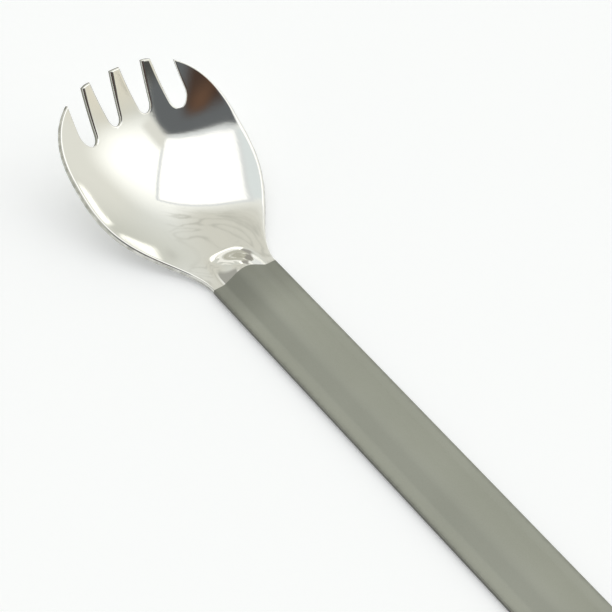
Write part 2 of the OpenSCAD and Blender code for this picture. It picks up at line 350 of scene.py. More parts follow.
@dataclass
class RoundedSheet:
    """Closed sheet over a plan, with edges rounded as shearing and tumbling leave them.

    The top side is the blank's own surface. The free edge is drawn in by the width of its
    upper rounding and swept with a profile: a quarter ellipse as wide as that and as deep
    as edge_depth, a flat wall, and a small quarter round down to the underside, which lies
    one sheet thickness below along the normals.

    Attributes:
        edge_w: width of the upper rounding where the plan gives no other.
        under_r: radius of the lower rounding.
        round_steps: cells down each rounding.
        corner_fade: length of edge over which a corner's slide fades out.
        wear_and_shade_reach: how far in from a free edge the attribute "edge_share" goes, which
            sets the rubbed look and painted edge shade.
        round_share: that attribute's value on the upper rounding.
        sharp_angle: angle in degrees above which an edge is drawn sharp.
        share_chunk: points whose edge share is worked out at a time.
    """

    blank: Blank
    edge_w: float = 0.3
    edge_depth: float = 0.38
    under_r: float = 0.15
    round_steps: int = 5
    corner_fade: float = 3.0
    wear_and_shade_reach: float = 0.9
    round_share: float = 0.35
    sharp_angle: float = 50.0
    share_chunk: int = 2000

    def outward(self, plan: Plan, closed: bool = False) -> list[Array]:
        """In-surface moves out of the sheet along each edge, as long as its widths.

        The direction is the edge's tangent crossed with the surface normal. Where two
        edges meet, both get the one move that takes each of them out by its own width.

        Args:
            plan: the sheet seen from above.
            closed: whether to follow the holes rather than the outer edges.

        Returns:
            One array of moves for each edge.
        """
        edges = plan.holes if closed else plan.edges
        ways = []
        for edge in edges:
            line = self.blank.top(plan.points[edge])
            if closed:
                tangent = np.roll(line, -1, 0) - np.roll(line, 1, 0)
            else:
                tangent = np.gradient(line, axis=0)
            ways.append(unit(np.cross(tangent, self.blank.normal(plan.points[edge]))))
        if closed:
            return [self.edge_w * way for way in ways]
        for end in (ways[0][0], ways[-1][-1]):
            end[1] = 0
            end /= np.linalg.norm(end)
        moves = [width[:, None] * way for width, way in zip(plan.widths, ways)]
        for k in range(len(ways) - 1):
            one, two = ways[k][-1], ways[k + 1][0]
            w_one, w_two = plan.widths[k][-1], plan.widths[k + 1][0]
            lean = float(one @ two)
            corner = (w_one - w_two * lean) * one + (w_two - w_one * lean) * two
            moves[k][-1] = moves[k + 1][0] = corner / (1 - lean * lean)
        return moves

    def inset(self, plan: Plan) -> Array:
        """Moves of the free edge's points that draw it in by its widths.

        Near a corner the corner's slide along the edge fades out over corner_fade, so that
        the points keep their order. A shorter edge is squeezed evenly between its corners.

        Args:
            plan: the sheet seen from above.

        Returns:
            n by 2 moves, 0 away from the free edges.
        """
        moves = np.zeros_like(plan.points)
        for edge, out in zip(plan.edges, self.outward(plan)):
            line = plan.points[edge]
            steps = np.linalg.norm(np.diff(line, axis=0), axis=1)
            along = np.concatenate([[0], np.cumsum(steps)])
            move = -out[:, :2]
            if along[-1] < self.corner_fade:
                moves[edge] = mix(move[:1], move[-1:], (along / along[-1])[:, None])
                continue
            tangent = unit(np.gradient(line, axis=0))
            for end, far in ((0, along), (-1, along[-1] - along)):
                second = 1 if end == 0 else -2
                own = move[second] - (move[second] @ tangent[second]) * tangent[second]
                slide = (move[end] - own) @ tangent[end]
                weight = np.clip(1 - far / self.corner_fade, 0, 1) ** 2
                weight[end] = 0
                move = move + (slide * weight)[:, None] * tangent
            moves[edge] = move
        for hole, out in zip(plan.holes, self.outward(plan, closed=True)):
            moves[hole] = -out[:, :2]
        return moves

    def profile(self, move: Array) -> tuple[Array, Array]:
        """Rounded cut edge, between the two sides, over each point of an edge.

        Args:
            move: n by 3 moves out of the sheet to the full outline.

        Returns:
            Share of the move and way down, each rows by n.
        """
        turn = np.linspace(0, np.pi / 2, self.round_steps + 1)[:, None]
        ones = np.ones(len(move))
        nip = self.under_r / np.maximum(np.linalg.norm(move, axis=1), self.under_r)
        share = np.vstack([np.sin(turn[1:]) * ones, 1 - nip * (1 - np.cos(turn))])
        upper = self.edge_depth * (1 - np.cos(turn[1:]))
        lower = self.blank.sheet_t - self.under_r * (1 - np.sin(turn))
        return share, np.vstack([upper, lower]) * ones

    def build(self, plan: Plan, name: str, lay: Lay) -> bpy.types.Object:
        """Mesh object of the closed sheet.

        Args:
            plan: the sheet seen from above, already drawn in.
            name: the object's name.
            lay: how the blank lies in the frame.

        Returns:
            The new object, at the origin, with the point attribute "edge_share".
        """
        count = len(plan.points)
        top, normal = self.blank.top(plan.points), self.blank.normal(plan.points)
        points = [top, top - self.blank.sheet_t * normal]
        faces = [plan.cells, plan.cells[:, ::-1] + count]
        ends = []
        start = 2 * count
        path = np.concatenate([plan.edges[0]] + [e[1:] for e in plan.edges[1:]])
        outs = self.outward(plan)
        dull_and_shade = np.repeat(plan.dull_and_shade, [len(plan.edges[0])] + [len(e) - 1 for e in plan.edges[1:]])
        sweeps = [(path, np.vstack([outs[0]] + [o[1:] for o in outs[1:]]), dull_and_shade, False)]
        for hole, out in zip(plan.holes, self.outward(plan, closed=True)):
            sweeps.append((hole, out, np.ones(len(hole)), True))
        rubbed_and_shaded = []
        for path, out, dull_and_shade, closed in sweeps:
            share, down = self.profile(out)
            ring = top[path] + share[..., None] * out - down[..., None] * normal[path]
            points.append(ring.reshape(-1, 3))
            inner = start + np.arange(share.size).reshape(share.shape)
            # The walls' edge shares set their rubbed look and painted shade.
            rubbed_and_shaded.append(self.wall_share(dull_and_shade).ravel())
            start += inner.size
            table = np.vstack([path, inner, path + count])
            if closed:
                table = np.column_stack([table, table[:, 0]])
            else:
                ends = [table[:, 0], table[:, -1]]
            faces.append(grid_cells(table, flip=True))
        seam = plan.seam
        cut = np.column_stack([seam[:-1], seam[:-1] + count, seam[1:] + count, seam[1:]])
        faces.append(cut[:, :: -plan.seam_side])
        caps = [end if end[0] == seam[0] else end[::-1] for end in ends]
        caps = [cap[:: -plan.seam_side] for cap in caps]
        near = self.edge_share(plan)
        share = np.concatenate([near, near] + rubbed_and_shaded)
        return self.make_object(name, lay.place(np.vstack(points)), np.vstack(faces), caps, share)

    def wall_share(self, dull_and_shade: Array) -> Array:
        """Edge share down the profile: round_share on the upper rounding, then the wall's."""
        wall = np.repeat(dull_and_shade[None], self.round_steps + 2, axis=0)
        return np.vstack([np.full((self.round_steps - 1, dull_and_shade.size), self.round_share), wall])

    def edge_share(self, plan: Plan) -> Array:
        """How near each point lies to a free edge, worked out in chunks to save memory.

        Args:
            plan: the sheet seen from above.

        Returns:
            round_share on a free edge, falling straight to 0 at wear_and_shade_reach inwards.
        """
        rim = plan.points[np.concatenate(plan.edges + plan.holes)]
        count = len(plan.points)
        share = np.zeros(count)
        for part in np.array_split(np.arange(count), max(1, count // self.share_chunk)):
            gap = np.linalg.norm(plan.points[part][:, None] - rim[None], axis=-1).min(1)
            share[part] = self.round_share * np.clip(1 - gap / self.wear_and_shade_reach, 0, 1)
        return share

    def make_object(
        self, name: str, points: Array, quads: Array, caps: list[Array], share: Array
    ) -> bpy.types.Object:
        """Blender object from whole arrays.

        Args:
            name: the object's name.
            points: n by 3, in metres.
            quads: m by 4 point numbers.
            caps: polygons of more than four points.
            share: value of the attribute "edge_share" at each point.

        Returns:
            The object, smooth except over sharp corners.
        """
        mesh = bpy.data.meshes.new(name)
        mesh.from_pydata(points.tolist(), [], quads.tolist() + [c.tolist() for c in caps])
        mesh.update()
        attribute = mesh.attributes.new("edge_share", "FLOAT", "POINT")
        attribute.data.foreach_set("value", share.astype(np.float32))
        mesh.polygons.foreach_set("use_smooth", np.ones(len(mesh.polygons), bool))
        mesh.set_sharp_from_angle(angle=math.radians(self.sharp_angle))
        piece = bpy.data.objects.new(name, mesh)
        bpy.context.scene.collection.objects.link(piece)
        return piece


@dataclass(frozen=True)
class SlotCut:
    """A slot between two tines: the circle of its root, and its mouth on the front edge."""

    root_x: float
    root_y: float
    radius: float
    mouth_x: float
    mouth_w: float


@dataclass
class Bowl:
    """Mirror-polished stretch: neck, deep-drawn bowl and five tines between four slots.

    Attributes:
        rim_dull_and_shade: edge share of the wall under the rim, which is rubbed brighter, with
            less painted shade, than the slots' walls.
        numbers: point numbers of the bowl's grid and then of each tine's, set by plan.
    """

    blank: Blank
    sheet: RoundedSheet
    inner_slot_x: float = 3.6
    inner_slot_l: float = 5.9
    inner_slot_root_w: float = 2.8
    inner_slot_mouth_w: float = 4.9
    outer_slot_x: float = 10.8
    outer_slot_mouth_x: float = 10.4
    outer_slot_l: float = 8.0
    outer_slot_root_w: float = 3.8
    outer_slot_mouth_w: float = 4.5
    outer_tip_w: float = 0.5
    tine_edge_w: float = 0.6
    point_edge_w: float = 0.2
    root_edge_w: float = 0.18
    rim_dull_and_shade: float = 0.66
    tine_cols: int = 22
    bowl_rows: int = 170
    arc_rows: int = 18
    side_rows: int = 24
    root_fade: float = 0.2
    numbers: list[Array] = field(init=False, default_factory=list)

    @property
    def tine_rows(self) -> int:
        """Rows along one tine."""
        return self.arc_rows + self.side_rows

    @property
    def tip_push(self) -> Array:
        """How far each row of a tine takes up the tip's curve: its share of the length, squared."""
        return np.linspace(0, 1, self.tine_rows + 1) ** 2

    @property
    def slots(self) -> list[SlotCut]:
        """The slots between the tines.

        Returns:
            The four slots, from left to right.
        """
        inner_r, outer_r = self.inner_slot_root_w / 2, self.outer_slot_root_w / 2
        inner_y = self.blank.bowl_l - self.inner_slot_l + inner_r
        outer_y = self.blank.bowl_l - self.outer_slot_l + outer_r
        made = []
        for side in (-1, 1):
            inner_x, outer_x = side * self.inner_slot_x, side * self.outer_slot_x
            mouth_x = side * self.outer_slot_mouth_x
            pair = [
                SlotCut(inner_x, inner_y, inner_r, inner_x, self.inner_slot_mouth_w),
                SlotCut(outer_x, outer_y, outer_r, mouth_x, self.outer_slot_mouth_w),
            ]
            made += pair[::side]
        return made

    def slot_side(self, slot: SlotCut, way: int) -> Array:
        """One side of a slot from its root to its mouth.

        It runs round the root circle to where a straight line to the mouth's corner is
        tangent to the circle, and then along that line to the front edge.

        Args:
            slot: the slot.
            way: 1 for the slot's right side and -1 for its left side.

        Returns:
            tine_rows + 1 points, by 2.
        """
        corner_x = slot.mouth_x + way * slot.mouth_w / 2
        corner_y = self.blank.front_y(corner_x)
        corner = np.array([way * (corner_x - slot.root_x), corner_y - slot.root_y])
        reach = float(np.hypot(*corner))
        tangent = math.atan2(corner[1], corner[0]) - math.acos(slot.radius / reach)
        rows = np.arange(self.tine_rows + 1)
        turn = mix(-np.pi / 2, tangent, np.minimum(rows / self.arc_rows, 1))
        arc = slot.radius * np.column_stack([np.cos(turn), np.sin(turn)])
        line = (np.clip(rows - self.arc_rows, 0, None) / self.side_rows)[:, None]
        return mix(arc, corner, line) * [way, 1] + [slot.root_x, slot.root_y]

    def outline_side(self, way: int) -> Array:
        """Side of an outer tine that lies on the blank's outline.

        Args:
            way: 1 for the right tine and -1 for the left one.

        Returns:
            tine_rows + 1 points, by 2.
        """
        tip_x = self.outer_slot_mouth_x + self.outer_slot_mouth_w / 2 + self.outer_tip_w
        root_y = self.blank.bowl_l - self.outer_slot_l - self.outer_slot_root_w / 2
        y = np.linspace(root_y, float(self.blank.front_y(tip_x)), self.tine_rows + 1)
        return np.column_stack([way * self.blank.half_width(y), y])

    def tine_grids(self) -> list[Array]:
        """Points of the five tines.

        A row runs straight between the tine's sides, and is pushed out towards the front
        edge by its tip_push.

        Returns:
            One array for each tine, rows by columns by 2.
        """
        slots = self.slots
        lefts = [self.outline_side(-1)] + [self.slot_side(s, 1) for s in slots]
        rights = [self.slot_side(s, -1) for s in slots] + [self.outline_side(1)]
        across = np.linspace(0, 1, self.tine_cols + 1)[None, :, None]
        push = self.tip_push[:, None]
        grids = []
        for left, right in zip(lefts, rights):
            grid = mix(left[:, None], right[:, None], across)
            tip = grid[-1]
            grid[:, :, 1] += push * (self.blank.front_y(tip[:, 0]) - tip[:, 1])
            grids.append(grid)
        return grids

    def plan(self) -> Plan:
        """The bowl seen from above, with square-cut edges.

        Between the finish line and the tines' roots a column keeps its share of the half
        width, which blends from even spacing at the neck to the root's own share. Each
        tine goes on from its own columns, row by row. The free edge runs from the right
        end of the finish line round the tines and slots to its left end.

        Returns:
            The plan, with the cut at the finish line as its seam.
        """
        tines, n, rows = self.tine_grids(), self.tine_cols, self.bowl_rows
        cols = len(tines) * n
        root = np.vstack([t[0, :-1] for t in tines] + [tines[-1][0, -1:]])
        share = mix(
            np.linspace(-1, 1, cols + 1),
            root[:, 0] / self.blank.half_width(root[:, 1]),
            ease(np.linspace(0, 1, rows + 1))[:, None],
        )
        y = root[:, 1] * np.linspace(0, 1, rows + 1)[:, None]
        bowl = np.stack([share * self.blank.half_width(y), y], -1)
        bowl[-1] = root
        points = [bowl.reshape(-1, 2)]
        numbers = [np.arange((rows + 1) * (cols + 1)).reshape(rows + 1, cols + 1)]
        start = numbers[0].size
        for t, grid in enumerate(tines):
            points.append(grid[1:].reshape(-1, 2))
            own = start + np.arange(self.tine_rows * (n + 1)).reshape(self.tine_rows, n + 1)
            start += own.size
            numbers.append(np.vstack([numbers[0][-1, t * n : (t + 1) * n + 1], own]))
        cells = np.vstack([grid_cells(grid) for grid in numbers])
        self.numbers = numbers
        body, blades = numbers[0], numbers[1:]
        edges = [np.concatenate([body[:, -1], blades[-1][1:, -1]])]
        outline = np.full(rows + len(blades[-1]), self.sheet.edge_w)
        tip = self.tine_rows + 1
        outline[-tip:] = mix(self.sheet.edge_w, self.point_edge_w, np.linspace(0, 1, tip))
        widths = [outline]
        for k in range(len(blades) - 1, -1, -1):
            outer = k in (0, len(blades) - 1)
            edges.append(blades[k][-1, ::-1])
            widths.append(np.full(n + 1, self.point_edge_w if outer else self.sheet.edge_w))
            if k:
                edges.append(np.concatenate([blades[k][::-1, 0], blades[k - 1][1:, -1]]))
                down, up = self.side_widths(outer)[::-1], self.side_widths(k == 1)[1:]
                widths.append(np.concatenate([down, up]))
        edges.append(np.concatenate([blades[0][::-1, 0], body[-2::-1, 0]]))
        widths.append(widths[0][::-1])
        dull_and_shade = [self.rim_dull_and_shade] + [1.0] * (len(edges) - 2) + [self.rim_dull_and_shade]
        return Plan(np.vstack(points), cells, edges, widths, dull_and_shade, [], body[0], -1)

    def side_widths(self, outer: bool) -> Array:
        """Widths of the upper rounding up one side of a tine, from the root to the tip."""
        tip = self.point_edge_w if outer else self.tine_edge_w
        return mix(self.root_edge_w, tip, np.linspace(0, 1, self.tine_rows + 1))

    def draw_in(self, plan: Plan) -> Plan:
        """Draws the free edge in by its widths, and lets the inside follow.

        Each row is squeezed evenly between its two ends, and the moves of the slots' roots
        and of the tips fade into the bowl and down the tines.

        Args:
            plan: the bowl seen from above, with square-cut edges.

        Returns:
            The same plan with moved points.
        """
        moves = self.sheet.inset(plan)
        body, n = self.numbers[0], self.tine_cols
        across = np.linspace(0, 1, body.shape[1])[:, None]
        base = mix(moves[body[:, 0]][:, None], moves[body[:, -1]][:, None], across)
        knots = np.arange(0, body.shape[1], n)
        root = np.column_stack(
            [np.interp(np.arange(body.shape[1]), knots, moves[body[-1, knots], k]) for k in (0, 1)]
        )
        fade = ease((np.linspace(0, 1, body.shape[0]) - 1 + self.root_fade) / self.root_fade)
        base += fade[:, None, None] * (root - base[-1])
        across = np.linspace(0, 1, n + 1)[:, None]
        push = self.tip_push[:, None, None]
        spread = np.array(moves)
        for blade in self.numbers[1:]:
            own = mix(moves[blade[:, 0]][:, None], moves[blade[:, -1]][:, None], across)
            spread[blade] = own + push * (moves[blade[-1]] - own[-1])
        spread[body] = base
        return replace(plan, points=plan.points + spread)

    def build(self) -> tuple[bpy.types.Object, Lay]:
        """Makes the bowl.

        Returns:
            The bowl's object, and how the whole spork lies.
        """
        square = self.plan()
        top = self.blank.top(square.points)
        under = top - self.blank.sheet_t * self.blank.normal(square.points)
        lay = Lay.of(self.blank, under, top)
        return self.sheet.build(self.draw_in(square), "bowl_shell", lay), lay


@dataclass
class Handle:
    """Bead-blasted stretch: ridged strip, flat land with two round corners and a hole.

    Attributes:
        body: point numbers of the strip, rows by columns, set by plan.
        table: point numbers of the rings from the land's outline to the hole, set by plan.
    """

    blank: Blank
    sheet: RoundedSheet
    end_corner_r: float = 5.0
    hole_d: float = 5.0
    hole_inset: float = 8.0
    cols: int = 110
    drop_rows: int = 60
    straight_rows: int = 40
    runout_rows: int = 44
    corner_steps: int = 20
    side_steps: int = 24
    end_steps: int = 16
    hole_rings: int = 26
    strip_lap: float = 0.5
    body: Array = field(init=False)
    table: Array = field(init=False)

    def strip_ys(self) -> Array:
        """Stations along the ridged strip, from the finish line back.

        Returns:
            The stations, closest where the ridge drops and where it runs out.
        """
        drop_y, runout_y = -self.blank.ridge_drop_l, self.blank.runout_l - self.blank.ridge_l
        end_y = -self.blank.ridge_l - self.strip_lap
        drop = np.linspace(0, drop_y, self.drop_rows + 1)
        straight = np.linspace(drop_y, runout_y, self.straight_rows + 1)
        runout = np.linspace(runout_y, end_y, self.runout_rows)
        return np.concatenate([drop, straight[1:], runout[1:]])

    def end_outline(self) -> Array:
        """Outline of the land from the strip's left end, round the end, to its right end.

        Returns:
            n by 2 points: a side, a quarter circle, the flat end and their mirror image.
        """
        half, r = self.blank.half_handle, self.end_corner_r
        end, start = -self.blank.handle_l, -self.blank.ridge_l - self.strip_lap
        side = np.linspace(start, end + r, self.side_steps + 1)
        left = np.column_stack([np.full_like(side, -half), side])
        turn = np.linspace(np.pi, 1.5 * np.pi, self.corner_steps + 1)
        arc = np.column_stack([r - half + r * np.cos(turn), end + r + r * np.sin(turn)])
        flat = np.linspace(r - half, half - r, self.end_steps + 1)
        bottom = np.column_stack([flat, np.full_like(flat, end)])
        half_loop = np.vstack([left, arc[1:]])
        return np.vstack([half_loop, bottom[1:-1], half_loop[::-1] * [-1, 1]])

    def plan(self) -> Plan:
        """The handle seen from above.

        It is a strip, and rings between the land's outline and the hole, on straight lines
        through the hole's middle.

        Returns:
            The plan, with the cut at the finish line as its seam.
        """
        b = self.blank
        ys = self.strip_ys()
        xs = np.linspace(-b.half_handle, b.half_handle, self.cols + 1)
        strip = np.stack(np.broadcast_arrays(xs[None], ys[:, None]), -1)
        body = np.arange(strip.shape[0] * strip.shape[1]).reshape(strip.shape[:2])
        outline = self.end_outline()
        centre = np.array([0, self.hole_inset - b.handle_l])
        loop = np.vstack([outline, strip[-1, -2:0:-1]])
        away = unit(loop - centre)
        hole = centre + away * self.hole_d / 2
        share = np.linspace(0, 1, self.hole_rings + 1)[:, None, None]
        rings = mix(loop[None], hole[None], share)
        start = body.size
        outer = start + np.arange(len(outline) - 2)
        start += len(outer)
        first = np.concatenate([[body[-1, 0]], outer, [body[-1, -1]], body[-1, -2:0:-1]])
        inner = start + np.arange(self.hole_rings * len(loop)).reshape(self.hole_rings, len(loop))
        table = np.vstack([first, inner])
        table = np.column_stack([table, table[:, 0]])
        points = np.vstack([strip.reshape(-1, 2), outline[1:-1], rings[1:].reshape(-1, 2)])
        cells = np.vstack([grid_cells(body, flip=True), grid_cells(table)])
        edge = np.concatenate([body[:-1, 0], first[: len(outline)], body[-2::-1, -1]])
        self.body, self.table = body, table[:, :-1]
        widths = [np.full(len(edge), self.sheet.edge_w)]
        return Plan(points, cells, [edge], widths, [1.0], [inner[-1, ::-1]], body[0], 1)

    def draw_in(self, plan: Plan) -> Plan:
        """Draws the free edges in by their widths, and squeezes each row and ray evenly.

        Args:
            plan: the handle seen from above, with square-cut edges.

        Returns:
            The same plan with moved points.
        """
        moves = self.sheet.inset(plan)
        spread = np.array(moves)
        across = np.linspace(0, 1, self.body.shape[1])[:, None]
        left, right = moves[self.body[:, 0]], moves[self.body[:, -1]]
        spread[self.body] = mix(left[:, None], right[:, None], across)
        share = np.linspace(0, 1, self.table.shape[0])[:, None, None]
        outer, inner = spread[self.table[0]], moves[self.table[-1]]
        spread[self.table] = mix(outer[None], inner[None], share)
        return replace(plan, points=plan.points + spread)

    def build(self, lay: Lay) -> bpy.types.Object:
        """The handle's object, lying as the bowl does."""
        return self.sheet.build(self.draw_in(self.plan()), "handle_shell", lay)


class Board:
    """Short hand for a node tree: adds nodes and joins them."""

    def __init__(self, tree: bpy.types.NodeTree) -> None:
        """Takes the tree and empties it."""
        self.tree = tree
        tree.nodes.clear()

    def add(self, kind: str, inputs: dict | None = None, **settings: object) -> bpy.types.Node:
        """Adds a node.

        Args:
            kind: the node's type name.
            inputs: values or other nodes' outputs for its inputs, by name or number.
            settings: the node's own properties.

        Returns:
            The node.
        """
        node = self.tree.nodes.new(kind)
        for name, value in settings.items():
            setattr(node, name, value)
        for name, value in (inputs or {}).items():
            socket = node.inputs[name]
            if isinstance(value, Output):
                self.tree.links.new(value, socket)
            else:
                socket.default_value = value
        return node

    def maths(self, how: str, *values: object) -> Output:
        """Result of a Math node on up to three numbers."""
        return self.add("ShaderNodeMath", dict(enumerate(values)), operation=how).outputs[0]

    def vector(self, how: str, *values: object) -> bpy.types.Node:
        """A Vector Math node on up to three vectors."""
        return self.add("ShaderNodeVectorMath", dict(enumerate(values)), operation=how)

    def noise(self, place: object, scale: object, **inputs: float) -> Output:
        """Value of a Noise Texture at a place, with its other inputs by name."""
        return self.add("ShaderNodeTexNoise", {"Vector": place, "Scale": scale} | inputs).outputs[0]

    def remap(
        self, value: object, low: object, high: object, to_low: float, to_high: float
    ) -> Output:
        """Smooth step of value from the span low..high to the span to_low..to_high."""
        inputs = {0: value, 1: low, 2: high, 3: to_low, 4: to_high}
        return self.add("ShaderNodeMapRange", inputs, interpolation_type="SMOOTHSTEP").outputs[0]

    def blend(self, share: object, one: object, two: object) -> Output:
        """Colour between one and two by share."""
        return self.add("ShaderNodeMix", {0: share, 6: one, 7: two}, data_type="RGBA").outputs[2]


class Group(Board):
    """A shader node group with named inputs and outputs, filled like any board."""

    def __init__(self, name: str, inputs: dict[str, object], outputs: tuple[str, ...]) -> None:
        """Makes the empty group.

        Args:
            name: the group's name.
            inputs: default values by name, a number or a vector.
            outputs: names of its outputs, which are all numbers.
        """
        super().__init__(bpy.data.node_groups.new(name, "ShaderNodeTree"))
        number = "NodeSocketFloat"
        for label, value in inputs.items():
            kind = "NodeSocketVector" if isinstance(value, tuple) else number
            socket = self.tree.interface.new_socket(label, in_out="INPUT", socket_type=kind)
            socket.default_value = value
        for label in outputs:
            self.tree.interface.new_socket(label, in_out="OUTPUT", socket_type=number)
        self.given = {s.name: s for s in self.add("NodeGroupInput").outputs if s.name}
        self.out = self.add("NodeGroupOutput")

    def give(self, label: str, value: Output) -> None:
        """Joins a result to one of the group's outputs."""
        self.tree.links.new(value, self.out.inputs[label])


def rgba(colour: Colour) -> tuple[float, float, float, float]:
    """The colour with an alpha of 1."""
    return (*colour, 1.0)


def grain_group() -> bpy.types.NodeTree:
    """Fine grain as a height, stretched by its input, and a slow cloud, both noises.

    Returns:
        The group.
    """
    group = Group(
        "metal_grain",
        {"Place": ORIGIN, "Grain Scale": 4000, "Stretch": (1.0, 1.0, 1.0), "Cloud Scale": 60},
        ("Height", "Cloud"),
    )
    place, given = group.given["Place"], group.given
    stretched = group.vector("MULTIPLY", place, given["Stretch"]).outputs[0]
    fine = group.noise(stretched, given["Grain Scale"], Detail=3.0, Roughness=0.6)
    slow = group.noise(place, given["Cloud Scale"], Detail=2.0)
    group.give("Height", fine)
    group.give("Cloud", slow)
    return group.tree


def wear_and_shade_group() -> bpy.types.NodeTree:
    """Mask of rubbed edges and of the painted shade on them: a smooth step of the edge share,
    broken up by noise.

    Returns:
        The group.
    """
    group = Group(
        "edge_wear_and_shade",
        {"Place": ORIGIN, "Edge": 0, "Start": 0.4, "Full": 0.85, "Break Up": 0.3, "Scale": 900},
        ("Mask",),
    )
    given = group.given
    noise = group.noise(given["Place"], given["Scale"], Detail=2.0)
    swing = group.maths("SUBTRACT", noise, NOISE_MIDDLE)
    jitter = group.maths("MULTIPLY", swing, given["Break Up"])
    level = group.maths("ADD", given["Edge"], jitter)
    group.give("Mask", group.remap(level, given["Start"], given["Full"], 0, 1))
    return group.tree


@dataclass(frozen=True)
class Finish:
    """A titanium finish: its colour, gloss, grain, its rubbed edges with painted shade on them, and
    painted shade at the neck.

    Attributes:
        roughness_swing: how far the slow cloud moves the roughness to each side.
        cloud_span: values of the cloud where that swing ends.
        shade_swing: share by which the fine grain darkens or lightens the colour.
        wear_and_shade_start: edge share where the edge's rubbed look and painted shade begin.
        painted_neck_shade: share of painted shade by which the colour is darker at the neck.
        neck_y: where that begins and is full, along the frame's y in metres.
    """

    name: str
    slot: Slot
    colour: Colour
    edge_shade_colour: Colour
    roughness: float
    roughness_swing: float
    edge_roughness: float
    grain_scale: float
    stretch: Triple
    cloud_scale: float
    bump: float
    bump_depth: float
    wear_and_shade_start: float
    shade_swing: float
    painted_neck_shade: float = 0.0
    neck_y: tuple[float, float] = (0.048, 0.061)
    cloud_span: tuple[float, float] = (0.3, 0.7)

    def shade(self, share: float) -> Colour:
        """The finish's colour, lighter or darker by a share."""
        return tuple(min(c * (1 + share), 1) for c in self.colour)

    def build(self, grain: bpy.types.NodeTree, wear_and_shade: bpy.types.NodeTree) -> bpy.types.Material:
        """The finish as a material.

        Args:
            grain: the metal_grain group.
            wear_and_shade: the edge_wear_and_shade group, the mask of rubbed edges and their
                painted shade.

        Returns:
            The material.
        """
        material = bpy.data.materials.new(self.name)
        material.use_nodes = True
        board = Board(material.node_tree)
        place = board.add("ShaderNodeTexCoord").outputs["Object"]
        edge = board.add("ShaderNodeAttribute", attribute_name="edge_share").outputs["Fac"]
        scales = {"Grain Scale": self.grain_scale, "Cloud Scale": self.cloud_scale}
        inputs = {"Place": place, "Stretch": self.stretch} | scales
        fine = board.add("ShaderNodeGroup", inputs, node_tree=grain)
        height, cloud = fine.outputs["Height"], fine.outputs["Cloud"]
        inputs = {"Place": place, "Edge": edge, "Start": self.wear_and_shade_start}
        mask = board.add("ShaderNodeGroup", inputs, node_tree=wear_and_shade).outputs["Mask"]

        dark, light = self.shade(-self.shade_swing), self.shade(self.shade_swing)
        tone = board.blend(height, rgba(dark), rgba(light))
        # Painted shade: the colour is blended towards black near the neck, where the handle looks
        # darker under this light.
        along = board.add("ShaderNodeSeparateXYZ", {"Vector": place}).outputs["Y"]
        neck_painted_shade = board.remap(along, *self.neck_y, 0, self.painted_neck_shade)
        tone = board.blend(neck_painted_shade, tone, rgba(BLACK))
        # Painted shade: the edge mask blends the colour towards a dark edge colour; the rougher
        # gloss below is the edges' own rubbed finish.
        colour = board.blend(mask, tone, rgba(self.edge_shade_colour))

        low, high = self.roughness - self.roughness_swing, self.roughness + self.roughness_swing
        gloss = board.remap(cloud, *self.cloud_span, low, high)
        inputs = {0: mask, 2: gloss, 3: self.edge_roughness}
        rough = board.add("ShaderNodeMix", inputs, data_type="FLOAT").outputs[0]
        inputs = {"Strength": self.bump, "Distance": self.bump_depth, "Height": height}
        bump = board.add("ShaderNodeBump", inputs).outputs[0]
        inputs = {"Base Color": colour, "Metallic": 1.0, "Roughness": rough, "Normal": bump}
        shader = board.add("ShaderNodeBsdfPrincipled", inputs)
        board.add("ShaderNodeOutputMaterial", {"Surface": shader.outputs[0]})
        return material


POLISH = Finish(
    name="polished_titanium",
    slot=Slot.POLISHED,
    colour=(0.80, 0.795, 0.755),
    # Painted shade: the cut edges are coloured darker than the polished metal.
    edge_shade_colour=(0.24, 0.24, 0.20),
    roughness=0.055,
    roughness_swing=0.012,
    edge_roughness=0.38,
    grain_scale=2600,
    stretch=(1.0, 0.05, 1.0),
    cloud_scale=90,
    bump=1.0,
    bump_depth=0.000004,
    wear_and_shade_start=0.50,
    shade_swing=0.015,
)
BLAST = Finish(
    name="blasted_titanium",
    slot=Slot.BLASTED,
    colour=(0.394, 0.403, 0.350),
    # Painted shade: the cut edges are coloured darker than the blasted metal.
    edge_shade_colour=(0.145, 0.145, 0.125),
    roughness=0.6,
    roughness_swing=0.03,
    edge_roughness=0.4,
    grain_scale=5200,
    stretch=(1.0, 1.0, 1.0),
    cloud_scale=45,
    bump=0.25,
    bump_depth=0.00003,
    wear_and_shade_start=0.02,
    shade_swing=0.08,
    # Painted shade towards the neck.
    painted_neck_shade=0.21,
)


